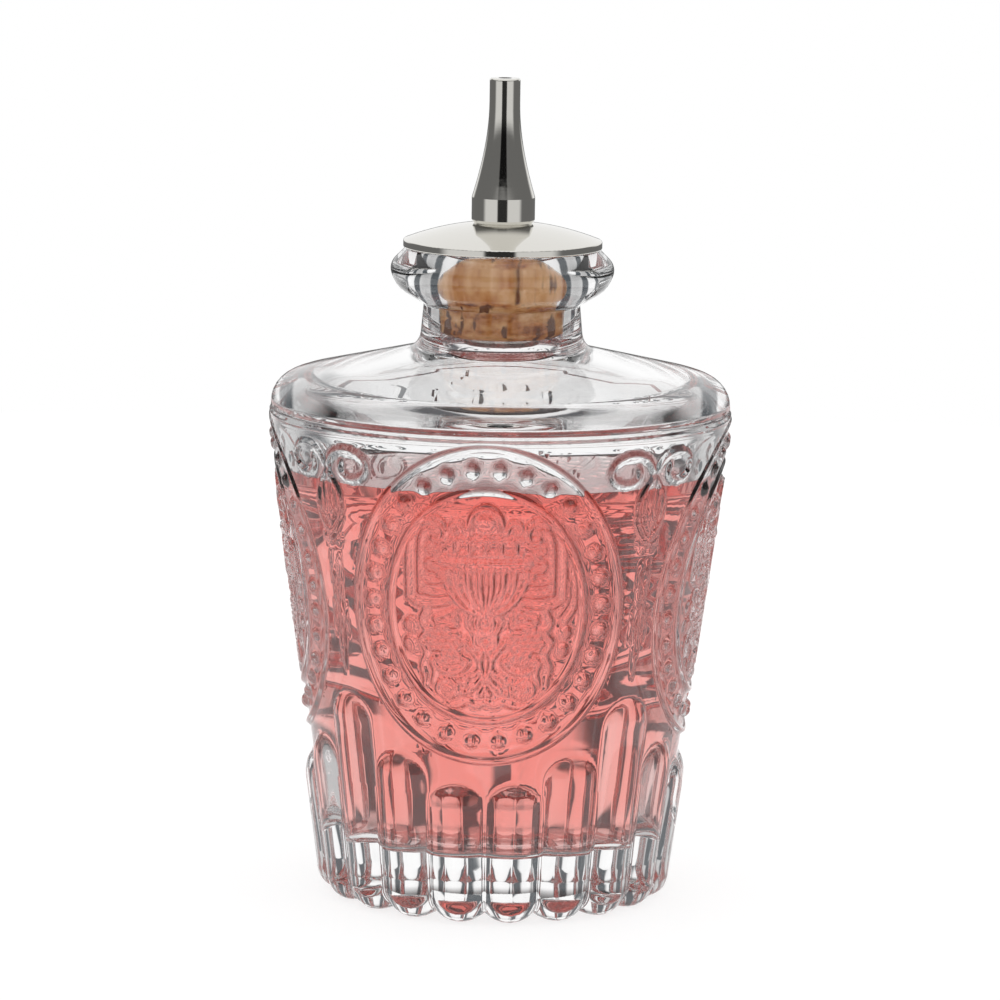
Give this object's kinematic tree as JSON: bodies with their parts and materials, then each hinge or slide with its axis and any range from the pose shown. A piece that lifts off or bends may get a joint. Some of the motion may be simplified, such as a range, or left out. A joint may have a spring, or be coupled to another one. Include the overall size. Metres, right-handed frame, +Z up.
{
  "type": "bitters bottle",
  "caption": "Tapered pressed-glass bitters bottle with raised oval medallions, a ribbed foot and a cork dasher stopper with a slim metal spout.",
  "frame": {"origin": "middle of the base, on the surface that the bottle stands on", "axes": "+Z up along the bottle's axis to the spout; -Y faces the front medallion"},
  "size_m": [0.069, 0.069, 0.1221],
  "materials": {
    "glass": "clear pressed glass, fire polished",
    "bitters": "clear coral red liquid",
    "cork": "natural cork, sanded",
    "polished_steel": "polished stainless steel, smoky"
  },
  "bodies": {
    "bottle": {"glass_bottle": "glass", "bitters": "bitters"},
    "stopper": {"cork": "cork", "cap_disc": "polished_steel", "spout": "polished_steel", "stem_tube": "polished_steel", "retaining_collar": "polished_steel"}
  },
  "joints": [
    {"name": "stopper_pull", "type": "slide", "parent": "bottle", "child": "stopper", "axis": [0, 0, 1], "range_m": [0, 0.04]}
  ]
}
